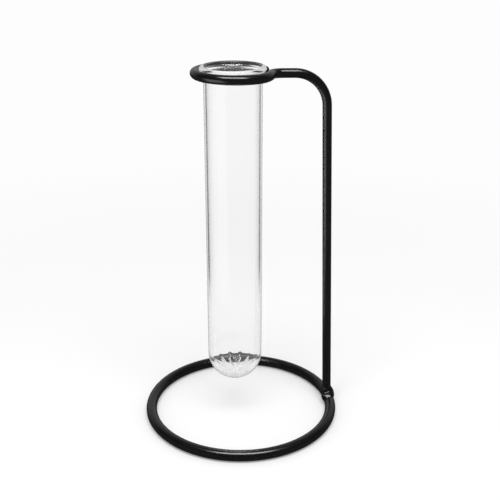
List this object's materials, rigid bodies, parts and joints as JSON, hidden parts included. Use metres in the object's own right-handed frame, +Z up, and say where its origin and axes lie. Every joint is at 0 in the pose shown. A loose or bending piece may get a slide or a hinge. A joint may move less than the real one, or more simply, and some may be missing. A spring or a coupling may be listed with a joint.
{
  "type": "test tube vase",
  "caption": "Bud vase: a round-bottomed glass tube hangs by its rolled lip in the open ring of a black wire gooseneck stand on a wire ring base; the tube lifts out.",
  "frame": {"origin": "on the table, at the centre of the base ring", "axes": "+Z up along the hanging tube, +X from the base ring's centre towards the post's foot; the holding ring opens on the +X, +Y side"},
  "size_m": [0.0914, 0.0914, 0.1655],
  "materials": {
    "black_powder_coat": "satin black powder coat on steel wire",
    "clear_glass": "clear, fire-polished"
  },
  "bodies": {
    "stand": {"base_ring": "black_powder_coat", "stem_wire": "black_powder_coat", "foot_weld": "black_powder_coat"},
    "tube": {"glass_tube": "clear_glass"}
  },
  "joints": [
    {"name": "tube_lift", "type": "slide", "parent": "stand", "child": "tube", "axis": [0, 0, 1], "range_m": [0, 0.152]}
  ]
}
